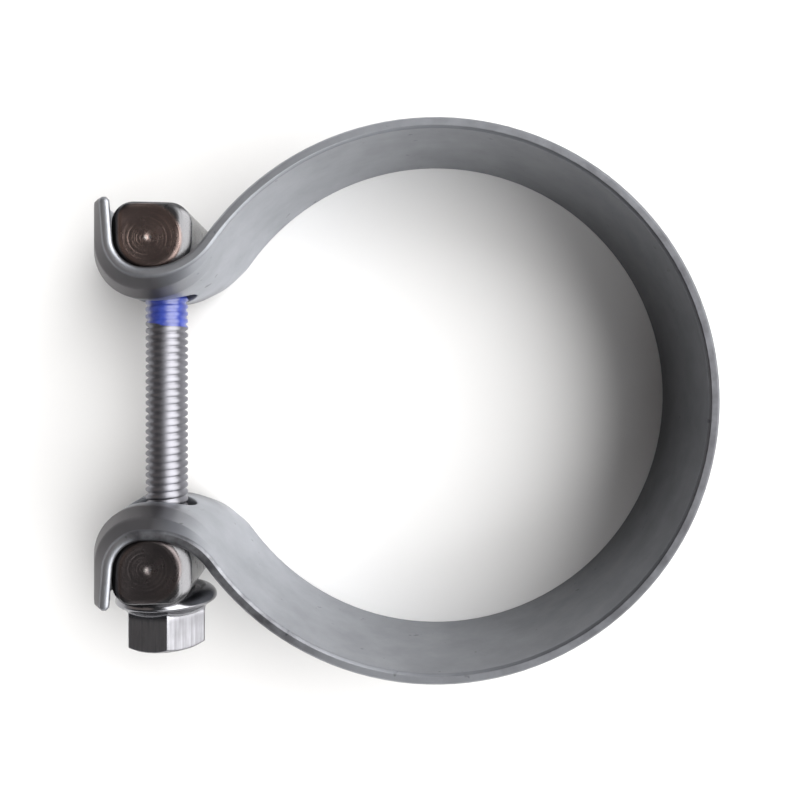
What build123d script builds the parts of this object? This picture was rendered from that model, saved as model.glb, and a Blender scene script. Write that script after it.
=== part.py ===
from build123d import *
import os
from math import atan2, cos, degrees, radians, sin, sqrt, tan

os.makedirs("parts", exist_ok=True)

# Strip and ring. The ring's axis is Z and its centre is the origin.
ring_inner_radius = 34.7
strip_thickness = 1.4
strip_width = 22.5
edge_break = 0.3
ring_end_angle = 140.0

# Trunnion pins, lying in the hooks and turned a little about the bolt.
pin_radius = 5.0
pin_end_inset = 0.55
pin_flat = 4.65
pin_corner = 2.8
pin_end_taper = 1.25
pin_end_radius = 3.75
pin_end_flat = 4.15
pin_end_corner = 1.3
pin_turn = 6.3
pin_seat_clearance = 0.2
centre_mark_radius = 0.6
centre_mark_depth = 0.4

# Ears: neck, crown, hook and lip, at both ends of the strip.
front_crown_flat = 0.37
upper_crown_height = 14.35
lower_crown_height = 15.1
neck_bend_radius = 10.0
hook_inset = 0.4
lip_clearance = 1.0
lip_height = 11.6
lip_tip_break = 0.45

# The edges of each hook are drawn in round the pin's ends, and their rims are crimped over its chamfers.
draw_in_run = 3.2
crown_draw_in = 1.0
lip_draw_in = 1.0
hook_draw_in = 0.5
crimp_run = 1.5
crimp_share = 1.3
tip_relief = 0.27

# Slots in the crowns.
slot_length = 9.6
slot_width = 6.7
slot_shift = -0.7

# Bolt.
thread_radius = 2.96
thread_root_radius = 2.45
thread_chamfer = 0.6
bolt_length = 50.0
hex_across_flats = 10.0
hex_turn = -18.0
head_height = 7.8
head_chamfer_angle = 30.0
head_chamfer_reach = 1.5
flange_radius = 6.8
flange_seat_radius = 4.7
flange_shoulder_radius = 6.2
flange_shoulder_drop = 0.5
flange_rim_drop = 1.25
flange_rim = 1.95
flange_cone = 0.9
flange_seat_gap = 0.02

# Locking patch, moulded into the thread.
patch_start = 13.95
patch_length = 11.8
patch_stand_out = 0.02

# Holes across the pins.
nut_running_clearance = 0.07
plain_hole_clearance = 0.35

half_width = strip_width / 2
pin_length = strip_width - 2 * pin_end_inset
neck_reach = ring_inner_radius + neck_bend_radius
neck_inner_radius = neck_bend_radius - strip_thickness
hook_inner_radius = pin_radius - hook_inset
pin_lean = tan(radians(pin_turn))

# The bolt stands where the turned hook, at its front edge, leaves a short flat after the neck.
front_neck_x = -sqrt(neck_reach ** 2 - (upper_crown_height + neck_bend_radius) ** 2)
front_hook_run = lip_clearance + hook_inset - half_width * pin_lean
bolt_x = front_neck_x - front_crown_flat + front_hook_run
upper_pin_y = upper_crown_height + strip_thickness + pin_radius + pin_seat_clearance
lower_pin_y = -(lower_crown_height + strip_thickness + pin_radius + pin_seat_clearance)
seat_y = lower_pin_y - pin_flat - flange_seat_gap
tip_y = seat_y + bolt_length
patch_end = tip_y - (patch_start - patch_length)
patch_y = patch_end - patch_length


def around(centre, radius, angle):
    """Point at an angle in degrees on a circle."""
    turn = radians(angle)
    return (centre[0] + radius * cos(turn), centre[1] + radius * sin(turn))


def ear_outline(crown_height, side, z, draw, trim):
    """Section of one ear across the width. draw is 1 between the edges, 0 beside them, negative at the rims."""
    crown = crown_height - crown_draw_in * draw
    lip_inner = bolt_x - pin_radius - lip_clearance - lip_draw_in * draw + z * pin_lean
    bend = hook_inner_radius + hook_draw_in * draw
    hook = (lip_inner + bend, crown + strip_thickness + bend)
    neck_y = crown + neck_bend_radius
    neck = (-sqrt(neck_reach ** 2 - neck_y ** 2), neck_y)
    leave = degrees(atan2(neck[1], neck[0]))
    half_leave = (ring_end_angle + leave) / 2
    half_neck = (leave + 180 + 270) / 2
    inner = ring_inner_radius + trim
    outer = ring_inner_radius + strip_thickness - trim
    gap_side = neck_bend_radius - trim
    pin_side = neck_inner_radius + trim
    hook_out = bend + strip_thickness - trim
    hook_in = bend + trim
    top = crown_height + lip_height - trim
    tip = lip_tip_break - trim
    relief = tip_relief * max(-draw, 0.0)
    shoulder = top - tip
    left = hook[0] - hook_out
    right = hook[0] - hook_in
    zero = (0.0, 0.0)
    steps = [
        (around(zero, inner, ring_end_angle), None),
        (around(zero, inner, leave), around(zero, inner, half_leave)),
        (around(neck, gap_side, 270), around(neck, gap_side, half_neck)),
        (around(hook, hook_out, 270), None),
        (around(hook, hook_out, 180), around(hook, hook_out, 225)),
        ((left - relief, shoulder), None),
        ((left - relief + tip, top), None),
        ((right - relief - tip, top), None),
        ((right - relief, shoulder), None),
        (around(hook, hook_in, 180), None),
        (around(hook, hook_in, 270), around(hook, hook_in, 225)),
        (around(neck, pin_side, 270), None),
        (around(zero, outer, leave), around(neck, pin_side, half_neck)),
        (around(zero, outer, ring_end_angle), around(zero, outer, half_leave)),
    ]
    outline = []
    for point, middle in steps:
        through = None if middle is None else (middle[0], side * middle[1])
        outline.append(((point[0], side * point[1]), through))
    return outline


def draw_outline(outline):
    """Lines and arcs of an outline, closed back to its first point."""
    start = outline[0][0]
    for point, through in outline[1:]:
        if through is None:
            Line(start, point)
        else:
            ThreePointArc(start, through, point)
        start = point
    Line(start, outline[0][0])


# Sections across the width: crimped rims, then an eased draw-in to the middle part.
full_strip = half_width - edge_break
crimp_end = full_strip - crimp_run
eased = [(0.0, 0.0), (1.0, 1.0)]
front_stations = [(half_width, -crimp_share, edge_break), (full_strip, -crimp_share, 0.0)]
for share, draw in eased:
    front_stations.append((crimp_end - draw_in_run * share, draw, 0.0))
stations = [(-z, draw, trim) for z, draw, trim in front_stations]
stations += [(z, draw, trim) for z, draw, trim in reversed(front_stations)]

with BuildPart() as upper_ear:
    for z, draw, trim in stations:
        with BuildSketch(Plane.XY.offset(z)):
            with BuildLine():
                draw_outline(ear_outline(upper_crown_height, 1, z, draw, trim))
            make_face()
    loft(ruled=True)
    with BuildSketch(Plane.XZ.offset(-upper_crown_height)):
        with Locations((bolt_x + slot_shift, 0)):
            SlotOverall(slot_length, slot_width)
    extrude(amount=pin_radius, both=True, mode=Mode.SUBTRACT)

with BuildPart() as lower_ear:
    for z, draw, trim in stations:
        with BuildSketch(Plane.XY.offset(z)):
            with BuildLine():
                draw_outline(ear_outline(lower_crown_height, -1, z, draw, trim))
            make_face()
    loft(ruled=True)
    with BuildSketch(Plane.XZ.offset(lower_crown_height)):
        with Locations((bolt_x + slot_shift, 0)):
            SlotOverall(slot_length, slot_width)
    extrude(amount=pin_radius, both=True, mode=Mode.SUBTRACT)

# The strip: one piece, from lip round the ring to lip.
with BuildPart() as band:
    with BuildSketch(Plane.XZ):
        with Locations((ring_inner_radius + strip_thickness / 2, 0)):
            Rectangle(strip_thickness, strip_width)
        chamfer(vertices(), edge_break)
    revolve(axis=Axis.Z, revolution_arc=2 * ring_end_angle)
    band.part = Rot(0, 0, -ring_end_angle) * band.part
    add(upper_ear.part)
    add(lower_ear.part)
band.part.label = "band"
export_step(band.part, "parts/band.step")


def pin_plane(y):
    """Plane across a pin's middle, square to its turned axis."""
    lean = radians(pin_turn)
    return Plane(origin=(bolt_x, y, 0), x_dir=(cos(lean), 0, -sin(lean)), z_dir=(sin(lean), 0, cos(lean)))


def pin_outline(side, radius, flat, corner):
    """Round on the cradle side, straight cheeks, and a flat away from the gap."""
    cheek = flat - corner
    flat_half = radius - corner
    slant = corner * sqrt(0.5)
    Line((radius, 0), (radius, side * cheek))
    ThreePointArc(
        (radius, side * cheek),
        (flat_half + slant, side * (cheek + slant)),
        (flat_half, side * flat),
    )
    Line((flat_half, side * flat), (-flat_half, side * flat))
    ThreePointArc(
        (-flat_half, side * flat),
        (-flat_half - slant, side * (cheek + slant)),
        (-radius, side * cheek),
    )
    Line((-radius, side * cheek), (-radius, 0))
    ThreePointArc((-radius, 0), (0, -side * radius), (radius, 0))


def pin_section(plane, side, radius, flat, corner):
    """Section of a pin on a plane across it."""
    with BuildSketch(plane) as section:
        with BuildLine():
            pin_outline(side, radius, flat, corner)
        make_face()
    return section.sketch


upper_plane = pin_plane(upper_pin_y)
lower_plane = pin_plane(lower_pin_y)
pin_body_half = pin_length / 2 - pin_end_taper

with BuildPart() as nut_pin:
    extrude(pin_section(upper_plane, 1, pin_radius, pin_flat, pin_corner), amount=pin_body_half, both=True)
    for end in (-1, 1):
        full = upper_plane.offset(end * pin_body_half)
        small = upper_plane.offset(end * pin_length / 2)
        full_section = pin_section(full, 1, pin_radius, pin_flat, pin_corner)
        end_section = pin_section(small, 1, pin_end_radius, pin_end_flat, pin_end_corner)
        loft([full_section, end_section], ruled=True)
    with Locations(upper_plane.offset(pin_length / 2)):
        Cone(centre_mark_depth / 4, centre_mark_radius, 2 * centre_mark_depth, mode=Mode.SUBTRACT)
    with BuildSketch(Plane.XZ.offset(-upper_pin_y)):
        with Locations((bolt_x, 0)):
            Circle(thread_radius + nut_running_clearance)
    extrude(amount=2 * pin_radius, both=True, mode=Mode.SUBTRACT)
nut_pin.part.label = "nut_pin"
export_step(nut_pin.part, "parts/nut_pin.step")

with BuildPart() as seat_pin:
    extrude(pin_section(lower_plane, -1, pin_radius, pin_flat, pin_corner), amount=pin_body_half, both=True)
    for end in (-1, 1):
        full = lower_plane.offset(end * pin_body_half)
        small = lower_plane.offset(end * pin_length / 2)
        full_section = pin_section(full, -1, pin_radius, pin_flat, pin_corner)
        end_section = pin_section(small, -1, pin_end_radius, pin_end_flat, pin_end_corner)
        loft([full_section, end_section], ruled=True)
    with Locations(lower_plane.offset(pin_length / 2)):
        Cone(centre_mark_depth / 4, centre_mark_radius, 2 * centre_mark_depth, mode=Mode.SUBTRACT)
    with BuildSketch(Plane.XZ.offset(-lower_pin_y)):
        with Locations((bolt_x, 0)):
            Circle(thread_radius + plain_hole_clearance)
    extrude(amount=2 * pin_radius, both=True, mode=Mode.SUBTRACT)
seat_pin.part.label = "seat_pin"
export_step(seat_pin.part, "parts/seat_pin.step")

# Flanged hex bolt, its flange against the seat pin's flat and its tip in the nut pin.
bolt_axis = Axis((bolt_x, 0, 0), (0, 1, 0))
hex_corner = hex_across_flats / sqrt(3)
head_end_y = seat_y - head_height
rim_y = seat_y - flange_rim
hex_start_y = rim_y - flange_cone
chamfer_x = bolt_x + hex_across_flats / 2
chamfer_rise = head_chamfer_reach * tan(radians(head_chamfer_angle))

with BuildPart() as bolt:
    with BuildSketch(Plane.XY):
        with BuildLine():
            Polyline(
                (bolt_x, hex_start_y),
                (bolt_x + hex_across_flats / 2, hex_start_y),
                (bolt_x + flange_radius, rim_y),
                (bolt_x + flange_radius, seat_y - flange_rim_drop),
                (bolt_x + flange_shoulder_radius, seat_y - flange_shoulder_drop),
                (bolt_x + flange_seat_radius, seat_y),
                (bolt_x + thread_radius, seat_y),
                (bolt_x + thread_radius, patch_y),
                (bolt_x + thread_root_radius, patch_y),
                (bolt_x + thread_root_radius, patch_end),
                (bolt_x + thread_radius, patch_end),
                (bolt_x + thread_radius, tip_y - thread_chamfer),
                (bolt_x + thread_radius - thread_chamfer, tip_y),
                (bolt_x, tip_y),
                close=True,
            )
        make_face()
    revolve(axis=bolt_axis)
    with BuildSketch(Plane.XZ.offset(-head_end_y)):
        with Locations((bolt_x, 0)):
            RegularPolygon(hex_corner, 6, rotation=90 + hex_turn)
    extrude(amount=-(rim_y - head_end_y))
    with BuildSketch(Plane.XY):
        with BuildLine():
            Polyline(
                (chamfer_x, head_end_y),
                (chamfer_x + head_chamfer_reach, head_end_y),
                (chamfer_x + head_chamfer_reach, head_end_y + chamfer_rise),
                close=True,
            )
        make_face()
    revolve(axis=bolt_axis, mode=Mode.SUBTRACT)
bolt.part.label = "bolt"
export_step(bolt.part, "parts/bolt.step")

with BuildPart() as locking_patch:
    with BuildSketch(Plane.XZ.offset(-patch_y)):
        with Locations((bolt_x, 0)):
            Circle(thread_radius + patch_stand_out)
            Circle(thread_root_radius, mode=Mode.SUBTRACT)
    extrude(amount=-patch_length)
locking_patch.part.label = "locking_patch"
export_step(locking_patch.part, "parts/locking_patch.step")
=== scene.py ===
import math
import random

import bmesh
import bpy
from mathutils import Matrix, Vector


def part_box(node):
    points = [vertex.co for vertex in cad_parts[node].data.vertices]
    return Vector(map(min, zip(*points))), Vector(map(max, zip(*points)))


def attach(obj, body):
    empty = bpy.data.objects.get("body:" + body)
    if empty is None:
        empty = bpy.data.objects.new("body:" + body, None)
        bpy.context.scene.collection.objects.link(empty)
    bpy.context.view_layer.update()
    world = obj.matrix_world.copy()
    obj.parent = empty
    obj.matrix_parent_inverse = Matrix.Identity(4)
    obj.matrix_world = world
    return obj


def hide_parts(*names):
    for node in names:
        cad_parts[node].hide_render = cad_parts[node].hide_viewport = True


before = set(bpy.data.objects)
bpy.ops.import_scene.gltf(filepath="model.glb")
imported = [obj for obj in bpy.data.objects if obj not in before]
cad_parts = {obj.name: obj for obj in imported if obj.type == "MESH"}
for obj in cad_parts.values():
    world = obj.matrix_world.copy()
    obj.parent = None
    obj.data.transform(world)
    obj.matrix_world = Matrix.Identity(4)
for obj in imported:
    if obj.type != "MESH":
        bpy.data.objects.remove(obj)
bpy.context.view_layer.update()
MM = 0.001

# Camera: it looks straight down on the clamp, and the shift moves its axis off the middle, as in the photo.
PHOTO_SIDE = 800
FOCAL_PX = 845.0
SENSOR_MM = 36.0
SHIFT_PX = (36.0, 33.0)
CAMERA_PLACE = Vector((0.0, 4.3, 118.4)) * MM
CLIP_START = 0.001

# Thread, M6 x 1.
PITCH = 1.0
CREST_RADIUS = 2.85
ROOT_RADIUS = 2.43
TIP_FLAT_RADIUS = 2.25
THREAD_SEGMENTS = 72
# Parts of one pitch, with how far the profile stands from root to crest there.
THREAD_PROFILE = [
    (0.00, 0.00),
    (0.06, 0.10),
    (0.12, 0.32),
    (0.20, 0.64),
    (0.28, 0.86),
    (0.37, 0.97),
    (0.50, 1.00),
    (0.63, 0.97),
    (0.72, 0.86),
    (0.80, 0.64),
    (0.88, 0.32),
    (0.94, 0.10),
]
# The thread starts this far inside the head.
THREAD_INTO_HEAD = 0.5
# Burnished look of the rolled thread: how far its shading leans towards a plain shank's, and where.
BURNISH = 0.6
BURNISH_FROM_RADIUS = 2.3
SQUARE_TO_AXIS = 0.95

# Head: a hexagon of 10 mm across its flats with a turned chamfer, turned about the bolt as in the photo.
HEAD_SEGMENTS = 360
HEX_FLAT = 5.0
HEX_CORNER = 5.73
HEX_TURN = math.radians(-18.0)
HEX_WEAR = 0.05
CHAMFER_RUN = 1.4
CHAMFER_ANGLE = math.radians(30)
CHAMFER_START = 4.84
CHAMFER_WEAR = 0.12
END_INSET = 0.1

# Flange: a domed seat side, a rounded rim and a cone towards the hexagon. Drops are taken from the seat.
SEAT_GAP = 0.02
SEAT_CORE_RADIUS = 2.0
DOME_START = 4.6
FLANGE_RADIUS = 6.79
RIM_DROP = 1.5
RIM_ROUND = 0.42
CONE_TURN = math.radians(60)
CONE_END_RADIUS = 3.0
CONE_BLEND = 0.40
ROW_MARGIN = 0.01

# Rows of the head's skin on the dome, the rim, the cone, the hexagon's sides and its chamfer.
DOME_STEPS = 12
RIM_STEPS = 6
CONE_STEPS = 24
SIDE_STEPS = 4
CHAMFER_STEPS = 14

# Locking patch: its coat fills the valleys, in waves, and its lower edge runs aslant.
PATCH_SEED = 11
PATCH_WAVE_COUNT = 9
PATCH_SLANT = 0.6
PATCH_EDGE_WAVE = 0.12
PATCH_FADE = 4.0
PATCH_COAT = 0.17
PATCH_COAT_WAVE = 0.05
PATCH_BLEND = 0.08
PATCH_SKIN = 0.01
PATCH_OVER_CREST = 0.018
PATCH_SUNK = 0.03

# Pins: their turn about the bolt, how far the centre marks stand off the middle, and the shares of half a
# pin's length at which its taper and its end face start.
PIN_LEAN = math.radians(6.3)
MARK_SHIFT = -0.6
TAPER_NEAR = 0.83
TAPER_START = 0.87
FACE_NEAR = 0.945
FACE_START = 0.965

# Points closer than this are joined, in metres.
WELD = 0.000002

# Floor, just below the rim that the clamp lies on.
FLOOR_GAP = 0.01
FLOOR_REACH = 6000
FLOOR_CORNERS = [(-1, -1), (1, -1), (1, 1), (-1, 1)]

# Glow of the studio by height above the horizon: dark overhead, pale low down.
SKY_STOPS = [
    (0.0, (1.0, 1.0, 1.0)),
    (0.05, (0.86, 0.86, 0.865)),
    (0.16, (0.30, 0.30, 0.31)),
    (0.45, (0.045, 0.047, 0.05)),
]

# Main light: a wide soft one from the right, far enough away to light the whole floor evenly.
KEY_POWER = 6.8
KEY_WIDTH = math.radians(84)
KEY_COLOUR = (1.0, 0.99, 0.975)
KEY_DIRECTION = Vector((-0.81, -0.12, -0.54))


def node_box(name):
    """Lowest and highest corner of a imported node, in millimetres."""
    low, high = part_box(name)
    return low / MM, high / MM


bolt_low, bolt_high = node_box("bolt")
patch_low, patch_high = node_box("locking_patch")
nut_low, nut_high = node_box("nut_pin")
seat_low, seat_high = node_box("seat_pin")
band_low = node_box("band")[0]
BOLT_X = (bolt_low.x + bolt_high.x) / 2
TIP_Y = bolt_high.y
HEAD_END_Y = bolt_low.y
SEAT_Y = seat_low.y - SEAT_GAP

camera_data = bpy.data.cameras.new("camera")
camera_data.sensor_width = SENSOR_MM
camera_data.lens = FOCAL_PX / PHOTO_SIDE * SENSOR_MM
camera_data.shift_x = -SHIFT_PX[0] / PHOTO_SIDE
camera_data.shift_y = -SHIFT_PX[1] / PHOTO_SIDE
camera_data.clip_start = CLIP_START
camera = bpy.data.objects.new("camera", camera_data)
camera.location = CAMERA_PLACE
bpy.context.scene.collection.objects.link(camera)
bpy.context.scene.camera = camera


# Meshes.
def new_object(name, vertices, faces, smooth=True):
    """A mesh object from points in millimetres."""
    mesh = bpy.data.meshes.new(name)
    mesh.from_pydata([tuple(c * MM for c in v) for v in vertices], [], faces)
    mesh.validate()
    for polygon in mesh.polygons:
        polygon.use_smooth = smooth
    mesh.update()
    obj = bpy.data.objects.new(name, mesh)
    bpy.context.scene.collection.objects.link(obj)
    return obj


def around_bolt(radius, turn, y):
    """Point at a turn about the bolt's axis. Turn 0 faces up from the floor."""
    return (BOLT_X + radius * math.sin(turn), y, radius * math.cos(turn))


def thread_grid(y_start, y_end, radius_at):
    """Helical grid of a right-hand thread, cut square at both ends."""
    vertices = []
    faces = []
    first = math.floor(y_start / PITCH) - 1
    last = math.ceil(y_end / PITCH)
    rows = []
    for turn_number in range(first, last + 1):
        for share, depth in THREAD_PROFILE:
            rows.append((turn_number + share, depth))
    for offset, depth in rows:
        for column in range(THREAD_SEGMENTS):
            angle = 2 * math.pi * column / THREAD_SEGMENTS
            y = PITCH * (offset + column / THREAD_SEGMENTS)
            y = min(max(y, y_start), y_end)
            vertices.append(around_bolt(radius_at(y, depth, angle), angle, y))
    per_turn = len(THREAD_PROFILE)
    count = len(rows)
    for row in range(count - 1):
        for column in range(THREAD_SEGMENTS):
            here = row * THREAD_SEGMENTS + column
            above = here + THREAD_SEGMENTS
            if column + 1 < THREAD_SEGMENTS:
                faces.append((here, here + 1, above + 1, above))
            elif row + per_turn + 1 < count:
                next_turn = (row + per_turn) * THREAD_SEGMENTS
                faces.append((here, next_turn, next_turn + THREAD_SEGMENTS, above))
    return vertices, faces


def lathe(rows, radius_at):
    """Closed skin round the bolt's axis. rows gives (radius, y), and radius_at may shape it by angle."""
    vertices = [(BOLT_X, rows[0][1], 0.0)]
    for radius, y in rows:
        for column in range(HEAD_SEGMENTS):
            angle = 2 * math.pi * column / HEAD_SEGMENTS
            vertices.append(around_bolt(radius_at(radius, y, angle), angle, y))
    vertices.append((BOLT_X, rows[-1][1], 0.0))
    last = len(vertices) - 1
    base = 1 + (len(rows) - 1) * HEAD_SEGMENTS
    faces = []
    for column in range(HEAD_SEGMENTS):
        after = (column + 1) % HEAD_SEGMENTS
        faces.append((0, 1 + after, 1 + column))
        faces.append((last, base + column, base + after))
        for row in range(len(rows) - 1):
            low = 1 + row * HEAD_SEGMENTS
            high = low + HEAD_SEGMENTS
            faces.append((low + column, low + after, high + after, high + column))
    return vertices, faces


def merged(*parts):
    """Several (vertices, faces) skins as one."""
    vertices = []
    faces = []
    for part_vertices, part_faces in parts:
        shift = len(vertices)
        vertices.extend(part_vertices)
        faces.extend(tuple(index + shift for index in face) for face in part_faces)
    return vertices, faces


def clean_mesh(obj):
    """Joins doubled points and gives the faces one direction."""
    work = bmesh.new()
    work.from_mesh(obj.data)
    bmesh.ops.remove_doubles(work, verts=work.verts, dist=WELD)
    bmesh.ops.dissolve_degenerate(work, edges=work.edges, dist=WELD)
    bmesh.ops.recalc_face_normals(work, faces=work.faces)
    work.to_mesh(obj.data)
    work.free()


def soften_thread(obj):
    """Turns the skin outwards, and leans its shading towards a plain shank's, as burnished flanks look."""
    facing = 0.0
    for vertex in obj.data.vertices:
        facing += (vertex.co.x - BOLT_X * MM) * vertex.normal.x + vertex.co.z * vertex.normal.z
    if facing < 0:
        obj.data.flip_normals()
    normals = []
    for vertex in obj.data.vertices:
        across = Vector((vertex.co.x - BOLT_X * MM, 0, vertex.co.z))
        normal = vertex.normal.copy()
        on_shank = vertex.co.y > SEAT_Y * MM and across.length > BURNISH_FROM_RADIUS * MM
        if on_shank and abs(normal.y) < SQUARE_TO_AXIS:
            normal = normal.lerp(across.normalized(), BURNISH).normalized()
        normals.append(normal)
    obj.data.normals_split_custom_set_from_vertices(normals)


def smooth_max(a, b, width):
    """The larger of two lengths, blended over a width where they meet."""
    return (a + b + math.sqrt((a - b) ** 2 + width ** 2)) / 2


def smooth_min(a, b, width):
    """The smaller of two lengths, blended over a width where they meet."""
    return (a + b - math.sqrt((a - b) ** 2 + width ** 2)) / 2


# Bolt: threaded shank, flange and hex head.
def thread_radius(depth):
    """Radius of the thread at a share of the way from root to crest."""
    return ROOT_RADIUS + (CREST_RADIUS - ROOT_RADIUS) * depth


def shank_radius(y, depth, angle):
    """The thread, with a cone at the bolt's tip."""
    return min(thread_radius(depth), TIP_FLAT_RADIUS + (TIP_Y - y))


def hex_side(angle):
    """Distance of the hexagon's side from the axis, its corners a little worn."""
    from_flat = (angle + HEX_TURN) % (math.pi / 3) - math.pi / 6
    return smooth_min(HEX_FLAT / math.cos(from_flat), HEX_CORNER, HEX_WEAR)


head_rows = [(SEAT_CORE_RADIUS, SEAT_Y)]
for step in range(0, DOME_STEPS + 1):
    turn = math.pi / 2 * step / DOME_STEPS
    reach = DOME_START + (FLANGE_RADIUS - DOME_START) * math.sin(turn)
    head_rows.append((reach, SEAT_Y - RIM_DROP * (1 - math.cos(turn))))
for step in range(1, RIM_STEPS + 1):
    turn = CONE_TURN * step / RIM_STEPS
    reach = FLANGE_RADIUS - RIM_ROUND * (1 - math.cos(turn))
    head_rows.append((reach, SEAT_Y - RIM_DROP - RIM_ROUND * math.sin(turn)))
cone_start, cone_start_y = head_rows[-1]
for step in range(1, CONE_STEPS + 1):
    inward = (cone_start - CONE_END_RADIUS) * step / CONE_STEPS
    head_rows.append((cone_start - inward, cone_start_y - inward / math.tan(CONE_TURN)))
hex_first_y = head_rows[-1][1]
hex_last_y = HEAD_END_Y + CHAMFER_RUN
for step in range(1, SIDE_STEPS + 1):
    head_rows.append((CONE_END_RADIUS, hex_first_y + (hex_last_y - hex_first_y) * step / SIDE_STEPS))
for step in range(1, CHAMFER_STEPS + 1):
    head_rows.append((CONE_END_RADIUS, HEAD_END_Y + CHAMFER_RUN * (1 - step / CHAMFER_STEPS)))
head_rows.append((CONE_END_RADIUS - END_INSET, HEAD_END_Y))


def head_radius(radius, y, angle):
    """The flange's outline, growing softly into the hexagon, with a turned chamfer at the head's end."""
    if y > cone_start_y - ROW_MARGIN or radius < CONE_END_RADIUS - END_INSET / 2:
        return radius
    chamfer = (y - HEAD_END_Y) / math.tan(CHAMFER_ANGLE) + CHAMFER_START
    side = smooth_min(hex_side(angle), chamfer, CHAMFER_WEAR)
    return min(smooth_max(radius, side, CONE_BLEND), FLANGE_RADIUS)


bolt = new_object("bolt_threaded", *merged(
    thread_grid(SEAT_Y - THREAD_INTO_HEAD, TIP_Y, shank_radius),
    lathe(head_rows, head_radius),
))
clean_mesh(bolt)
soften_thread(bolt)

# Blue locking patch: a coat that follows the thread, thicker in its valleys.
random.seed(PATCH_SEED)
PATCH_WAVES = [
    (random.uniform(0.5, 3.0), random.randint(1, 5), random.uniform(0, 6.28))
    for _ in range(PATCH_WAVE_COUNT)
]


def patch_ripple(y, angle):
    """Uneven thickness of the coat, mostly between -1 and 1."""
    total = 0.0
    for along, around, phase in PATCH_WAVES:
        total += math.sin(along * y + around * angle + phase)
    return total / len(PATCH_WAVES) * 2


def patch_radius(y, depth, angle):
    """The coat's surface, which sinks into the thread beyond the patch's two edges."""
    ripple = patch_ripple(y, angle)
    lower_edge = patch_low.y + PATCH_SLANT * (1 - math.sin(angle)) / 2 + PATCH_EDGE_WAVE * abs(ripple)
    inside = min(y - lower_edge, patch_high.y - y)
    fill = min(max(inside * PATCH_FADE, 0.0), 1.0)
    thread = thread_radius(depth)
    coat = ROOT_RADIUS + PATCH_COAT + PATCH_COAT_WAVE * ripple
    radius = min(smooth_max(thread, coat, PATCH_BLEND) + PATCH_SKIN, CREST_RADIUS + PATCH_OVER_CREST)
    return thread - PATCH_SUNK + (radius - thread + PATCH_SUNK) * fill


patch = new_object("patch_coat", *thread_grid(patch_low.y, patch_high.y, patch_radius))
clean_mesh(patch)
soften_thread(patch)


# Materials.
def fill_ramp(node, stops):
    """Puts colours at their positions on a colour ramp."""
    elements = node.color_ramp.elements
    while len(elements) > 1:
        elements.remove(elements[-1])
    elements[0].position = stops[0][0]
    elements[0].color = (*stops[0][1], 1)
    for position, colour in stops[1:]:
        element = elements.new(position)
        element.color = (*colour, 1)


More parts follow.
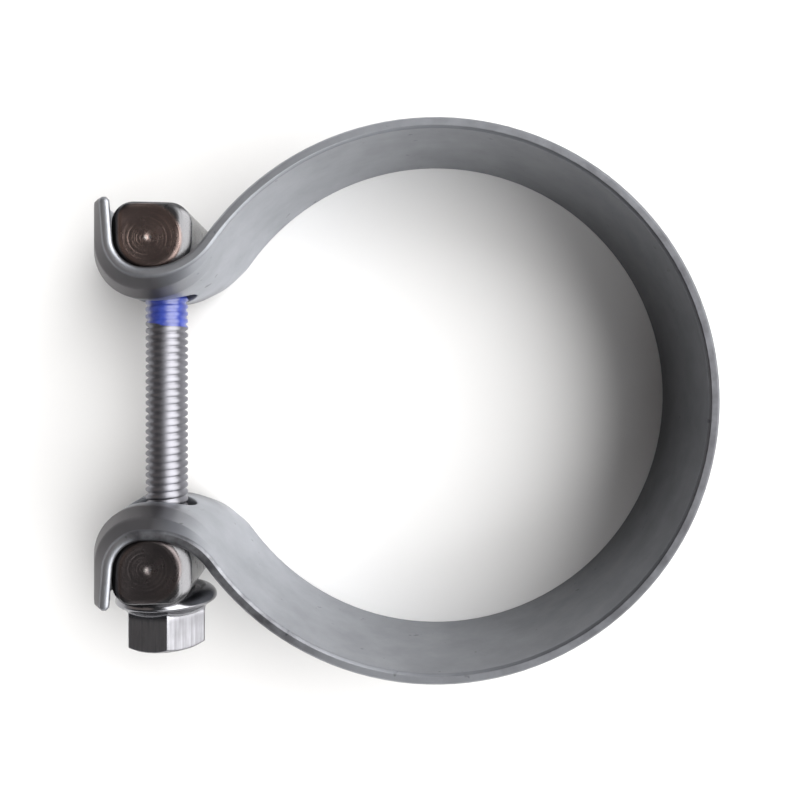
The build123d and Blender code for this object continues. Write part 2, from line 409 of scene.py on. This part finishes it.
class Nodes:
    """Short calls for building one material. Lengths in them are in metres."""

    def __init__(self, name):
        self.material = bpy.data.materials.new(name)
        self.material.use_nodes = True
        self.tree = self.material.node_tree
        self.tree.nodes.clear()
        self.output = self.add("ShaderNodeOutputMaterial")
        self.shader = self.add("ShaderNodeBsdfPrincipled")
        self.join(self.shader.outputs["BSDF"], self.output.inputs["Surface"])

    def add(self, kind, **values):
        node = self.tree.nodes.new(kind)
        for key, value in values.items():
            setattr(node, key, value)
        return node

    def join(self, start, end):
        self.tree.links.new(start, end)

    def feed(self, value, socket):
        """Gives a socket its number, its colour or a link."""
        if isinstance(value, (int, float)):
            socket.default_value = value
        elif isinstance(value, tuple):
            socket.default_value = (*value, 1)
        else:
            self.join(value, socket)

    def place(self):
        return self.add("ShaderNodeTexCoord").outputs["Object"]

    def split(self, source):
        """X, Y and Z of a point."""
        node = self.add("ShaderNodeSeparateXYZ")
        self.join(source, node.inputs[0])
        return node.outputs["X"], node.outputs["Y"], node.outputs["Z"]

    def mapped(self, source, scale=(1, 1, 1), location=(0, 0, 0)):
        node = self.add("ShaderNodeMapping")
        node.inputs["Scale"].default_value = scale
        node.inputs["Location"].default_value = location
        self.join(source, node.inputs["Vector"])
        return node.outputs["Vector"]

    def combined(self, value):
        """A point at a distance along X, for noise that changes with that distance only."""
        node = self.add("ShaderNodeCombineXYZ")
        self.join(value, node.inputs["X"])
        return node.outputs["Vector"]

    def noise(self, source, scale, detail, roughness):
        node = self.add("ShaderNodeTexNoise")
        node.inputs["Scale"].default_value = scale
        node.inputs["Detail"].default_value = detail
        node.inputs["Roughness"].default_value = roughness
        self.join(source, node.inputs["Vector"])
        return node.outputs["Fac"]

    def ramp(self, source, stops):
        node = self.add("ShaderNodeValToRGB")
        fill_ramp(node, stops)
        self.join(source, node.inputs["Fac"])
        return node.outputs["Color"]

    def grey(self, source, stops):
        return self.ramp(source, [(p, (v, v, v)) for p, v in stops])

    def math(self, operation, first, second=None):
        node = self.add("ShaderNodeMath", operation=operation)
        self.feed(first, node.inputs[0])
        if second is not None:
            self.feed(second, node.inputs[1])
        return node.outputs[0]

    def times(self, first, second):
        return self.math("MULTIPLY", first, second)

    def mix(self, factor, first, second, blend="MIX"):
        node = self.add("ShaderNodeMix", data_type="RGBA", blend_type=blend)
        for socket, value in ((node.inputs[0], factor), (node.inputs[6], first), (node.inputs[7], second)):
            self.feed(value, socket)
        return node.outputs[2]

    def darken(self, colour, shade):
        return self.mix(1.0, colour, shade, "MULTIPLY")

    def bump(self, height, strength, distance, below=None):
        node = self.add("ShaderNodeBump")
        self.feed(strength, node.inputs["Strength"])
        node.inputs["Distance"].default_value = distance
        self.join(height, node.inputs["Height"])
        if below is not None:
            self.join(below, node.inputs["Normal"])
        return node.outputs["Normal"]

    def soft_edges(self, radius):
        """Shading normal of edges that are worn round."""
        node = self.add("ShaderNodeBevel", samples=8)
        node.inputs["Radius"].default_value = radius
        return node.outputs["Normal"]

    def finish(self, colour, roughness, metallic, normal=None):
        self.shader.inputs["Metallic"].default_value = metallic
        self.feed(colour, self.shader.inputs["Base Color"])
        self.feed(roughness, self.shader.inputs["Roughness"])
        if normal is not None:
            self.join(normal, self.shader.inputs["Normal"])
        return self.material


def band_steel():
    """Satin rolled strip, with duller edges round the ring and painted shade: darker towards the ring's far
    side, and in bands on the hooks beside the crimped rims.
    """
    n = Nodes("band_steel")
    place = n.place()
    x, y, z = n.split(place)
    cloud = n.noise(place, 150, 5, 0.6)
    grain = n.noise(place, 1700, 3, 0.6)
    speck = n.noise(place, 620, 2, 0.5)
    scuff = n.noise(place, 420, 3, 0.6)

    # Where a point lies: from the lips to the ring's far side, across the strip, towards the bolt's head.
    band_reach = 0.085
    across_scale = 80.0
    side_scale = 10.0
    to_ring = n.math("DIVIDE", n.math("SUBTRACT", x, band_low.x * MM), band_reach)
    from_middle = n.times(n.math("ABSOLUTE", z), across_scale)
    downwards = n.math("SUBTRACT", 0.5, n.times(y, side_scale))
    on_hook = n.grey(to_ring, [(0.12, 1.0), (0.19, 0.0)])

    # Clean strip, with painted shade that darkens it towards the ring's far side.
    fresh = n.ramp(cloud, [(0.30, (0.37, 0.385, 0.415)), (0.70, (0.445, 0.46, 0.495))])
    shaded_to_far_side = n.darken(fresh, n.grey(to_ring, [(0.22, 0.97), (0.50, 0.74), (0.75, 0.54), (0.95, 0.40)]))

    # Crimps: painted shade, dark bands on the hooks beside the rims.
    beside_rim = n.grey(from_middle, [(0.28, 0.0), (0.52, 1.0), (0.868, 1.0), (0.90, 0.0)])
    on_crimp = n.times(on_hook, beside_rim)
    crimp_shaded = n.mix(n.times(on_crimp, 0.88), shaded_to_far_side, (0.060, 0.054, 0.056))

    # Sheared edges: duller on the corners by the necks and on the ring's end faces, partly their own finish
    # and partly painted shade, strongest on the lower neck corner and towards the ring's far side.
    on_corner = n.grey(from_middle, [(0.868, 0.0), (0.88, 1.0)])
    on_face = n.grey(from_middle, [(0.892, 0.0), (0.898, 1.0)])
    low_side = n.grey(downwards, [(0.45, 0.25), (0.60, 1.0)])
    near_hooks = n.grey(to_ring, [(0.072, 0.0), (0.105, 0.95), (0.30, 0.85), (0.44, 0.0)])
    at_necks = n.times(n.times(on_corner, near_hooks), low_side)
    at_ring = n.times(on_face, n.grey(to_ring, [(0.45, 0.1), (0.90, 1.0)]))
    scuffed = n.grey(scuff, [(0.38, 1.0), (0.62, 0.62)])
    dull_edge_and_shade = n.times(n.math("MAXIMUM", at_necks, at_ring), scuffed)
    sheared = n.mix(dull_edge_and_shade, crimp_shaded, (0.075, 0.075, 0.082))
    lip = n.grey(to_ring, [(0.072, 0.12), (0.105, 0.0)])
    on_lip = n.times(lip, n.grey(from_middle, [(0.83, 0.0), (0.87, 1.0)]))
    edged = n.mix(on_lip, sheared, (0.10, 0.105, 0.115))

    colour = n.darken(edged, n.grey(speck, [(0.71, 1.0), (0.77, 0.62)]))
    rough = n.grey(cloud, [(0.3, 0.48), (0.7, 0.42)])
    worn = n.mix(on_hook, n.soft_edges(0.00015), n.soft_edges(0.0008))
    return n.finish(colour, rough, 1.0, n.bump(grain, 0.2, 0.00002, worn))


def bolt_steel():
    """Bright zinc: glossy flange, satin hexagon drawn lengthwise, burnished thread."""
    n = Nodes("bolt_steel")
    place = n.place()
    y = n.split(place)[1]
    cloud = n.noise(place, 420, 4, 0.6)
    drawn = n.noise(n.mapped(place, (1.0, 0.04, 1.0)), 2600, 3, 0.6)
    head_reach = 0.010
    along = n.math("DIVIDE", n.math("SUBTRACT", y, HEAD_END_Y * MM), head_reach)
    on_hexagon = n.grey(along, [(0.0, 1.0), (0.42, 1.0), (0.50, 0.0)])
    on_thread = n.grey(along, [(0.75, 0.0), (0.95, 1.0)])
    tone = n.ramp(cloud, [(0.3, (0.235, 0.235, 0.25)), (0.7, (0.28, 0.28, 0.30))])
    streaked = n.darken(tone, n.grey(drawn, [(0.35, 0.72), (0.60, 1.0)]))
    threaded = n.darken(tone, (0.79, 0.79, 0.81))
    colour = n.mix(on_hexagon, n.mix(on_thread, tone, threaded), streaked)
    turned_rough = n.grey(on_thread, [(0.0, 0.20), (1.0, 0.40)])
    drawn_rough = n.grey(drawn, [(0.3, 0.46), (0.7, 0.36)])
    return n.finish(colour, n.mix(on_hexagon, turned_rough, drawn_rough), 1.0)


def pin_steel(name, low, high, tone_low, tone_high, marks):
    """Turned steel pin. Its dark end face is a shallow dish with tool marks and a small pip at its centre,
    whose brighter colour is a painted highlight.
    """
    n = Nodes(name)
    centre = (low + high) / 2
    local = n.mapped(n.place(), location=(-(centre.x + MARK_SHIFT) * MM, -centre.y * MM, 0))
    x, y, z = n.split(local)

    # Where a point lies: along the pin, as a share of half its length, and out from its centre line.
    across = n.math("SUBTRACT", x, n.times(z, math.tan(PIN_LEAN)))
    along = n.math("ADD", z, n.times(x, math.tan(PIN_LEAN)))
    from_middle = n.math("ABSOLUTE", along)
    share = n.math("DIVIDE", from_middle, high.z * MM)
    square = n.math("ADD", n.times(across, across), n.times(y, y))
    radius = n.math("SQRT", square)
    near_end = n.grey(share, [(TAPER_NEAR, 0.0), (TAPER_START, 1.0)])
    on_taper = n.grey(share, [(TAPER_NEAR, 0.0), (TAPER_START, 1.0), (FACE_NEAR, 1.0), (FACE_START, 0.0)])
    on_face = n.grey(share, [(FACE_NEAR, 0.0), (FACE_START, 1.0)])
    face_scale = 200
    inside = n.grey(n.times(radius, face_scale), [(0.88, 1.0), (0.95, 0.0)])
    pip_scale = 1000
    pip_and_glint = n.grey(n.times(radius, pip_scale), [(0.04, 1.0), (0.38, 0.0)])

    # Colour: grey body, darker end, dark face, and a painted highlight on the pip.
    cloud = n.noise(local, 300, 4, 0.6)
    dark = n.mix(pip_and_glint, n.ramp(cloud, [(0.3, tone_low), (0.7, tone_high)]), (0.30, 0.28, 0.27))
    body = n.ramp(cloud, [(0.3, (0.24, 0.235, 0.235)), (0.7, (0.31, 0.305, 0.305))])
    end_darkened = n.mix(near_end, body, (0.115, 0.115, 0.12))
    tone = n.mix(n.times(on_face, inside), end_darkened, dark)
    rough = n.grey(cloud, [(0.3, 0.30), (0.7, 0.23)])

    # Relief: the taper rounded over, the face dished, with turned rings and the pip on it.
    rings = n.noise(n.combined(radius), 5200, 2, 0.5)
    rounded = n.bump(n.times(from_middle, -0.55), on_taper, 1.0, n.soft_edges(0.0009))
    dish = n.bump(n.times(square, 9.0), on_face, 1.0, rounded)
    turned = n.bump(rings, n.times(on_face, marks), 0.00012, dish)
    return n.finish(tone, rough, 1.0, n.bump(pip_and_glint, on_face, 0.000025, turned))


def patch_blue():
    """Glossy nylon coat."""
    n = Nodes("patch_blue")
    cloud = n.noise(n.place(), 900, 4, 0.6)
    tone = n.ramp(cloud, [(0.3, (0.009, 0.024, 0.20)), (0.7, (0.026, 0.052, 0.32))])
    n.shader.inputs["Coat Weight"].default_value = 0.75
    n.shader.inputs["Coat IOR"].default_value = 1.66
    n.shader.inputs["Coat Roughness"].default_value = 0.30
    return n.finish(tone, 0.35, 0.0, n.bump(cloud, 0.3, 0.00003))


def floor_pale():
    """Plain pale board, hardly mottled."""
    n = Nodes("floor_pale")
    tone = n.grey(n.noise(n.place(), 30, 3, 0.5), [(0.3, 0.79), (0.7, 0.81)])
    return n.finish(tone, 0.9, 0.0)


def dress(obj, material):
    """One material on the whole of a piece."""
    if not obj.data.materials:
        obj.data.materials.append(material)
    for place in obj.material_slots:
        place.material = material


dress(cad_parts["band"], band_steel())
dress(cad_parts["nut_pin"], pin_steel(
    "nut_pin_steel", nut_low, nut_high, (0.17, 0.128, 0.117), (0.225, 0.172, 0.158), 0.40,
))
dress(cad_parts["seat_pin"], pin_steel(
    "seat_pin_steel", seat_low, seat_high, (0.10, 0.086, 0.086), (0.145, 0.127, 0.127), 0.34,
))
dress(bolt, bolt_steel())
dress(patch, patch_blue())

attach(bolt, "clamp_bolt")
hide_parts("bolt")
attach(patch, "clamp_bolt")
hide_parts("locking_patch")

# Floor.
floor_z = band_low.z - FLOOR_GAP
floor_points = [(FLOOR_REACH * x, FLOOR_REACH * y, floor_z) for x, y in FLOOR_CORNERS]
floor = new_object("floor", floor_points, [(0, 1, 2, 3)], smooth=False)
dress(floor, floor_pale())

# Studio round the clamp.
world = bpy.data.worlds.new("studio")
world.use_nodes = True
sky = world.node_tree
background = sky.nodes["Background"]
direction = sky.nodes.new("ShaderNodeTexCoord")
height = sky.nodes.new("ShaderNodeSeparateXYZ")
glow = sky.nodes.new("ShaderNodeValToRGB")
fill_ramp(glow, SKY_STOPS)
sky.links.new(direction.outputs["Generated"], height.inputs[0])
sky.links.new(height.outputs["Z"], glow.inputs["Fac"])
sky.links.new(glow.outputs["Color"], background.inputs["Color"])
background.inputs["Strength"].default_value = 1.0
bpy.context.scene.world = world


# Lights.
def turn_light(obj, direction):
    """Turns a light to shine in a direction."""
    obj.rotation_euler = direction.to_track_quat("-Z", "Y").to_euler()
    bpy.context.scene.collection.objects.link(obj)


def softbox(name, place, size, power, colour=(1, 1, 1)):
    """Area light aimed at the ring's centre. Places and sizes are in millimetres, power in watts."""
    data = bpy.data.lights.new(name, "AREA")
    data.shape = "RECTANGLE"
    data.size, data.size_y = (s * MM for s in size)
    data.energy = power
    data.color = colour
    obj = bpy.data.objects.new(name, data)
    obj.location = Vector(place) * MM
    turn_light(obj, (Vector((0, 0, 0)) - Vector(place)).normalized())


key_data = bpy.data.lights.new("key_right", "SUN")
key_data.energy = KEY_POWER
key_data.angle = KEY_WIDTH
key_data.color = KEY_COLOUR
turn_light(bpy.data.objects.new("key_right", key_data), KEY_DIRECTION)
softbox("fill_up", (150, 330, 380), (450, 350), 0.9)
softbox("fill_down", (150, -330, 380), (450, 350), 0.9)
softbox("fill_left", (-330, 0, 300), (220, 500), 0.12, (1.0, 0.84, 0.74))

bpy.context.scene.view_settings.view_transform = "Standard"
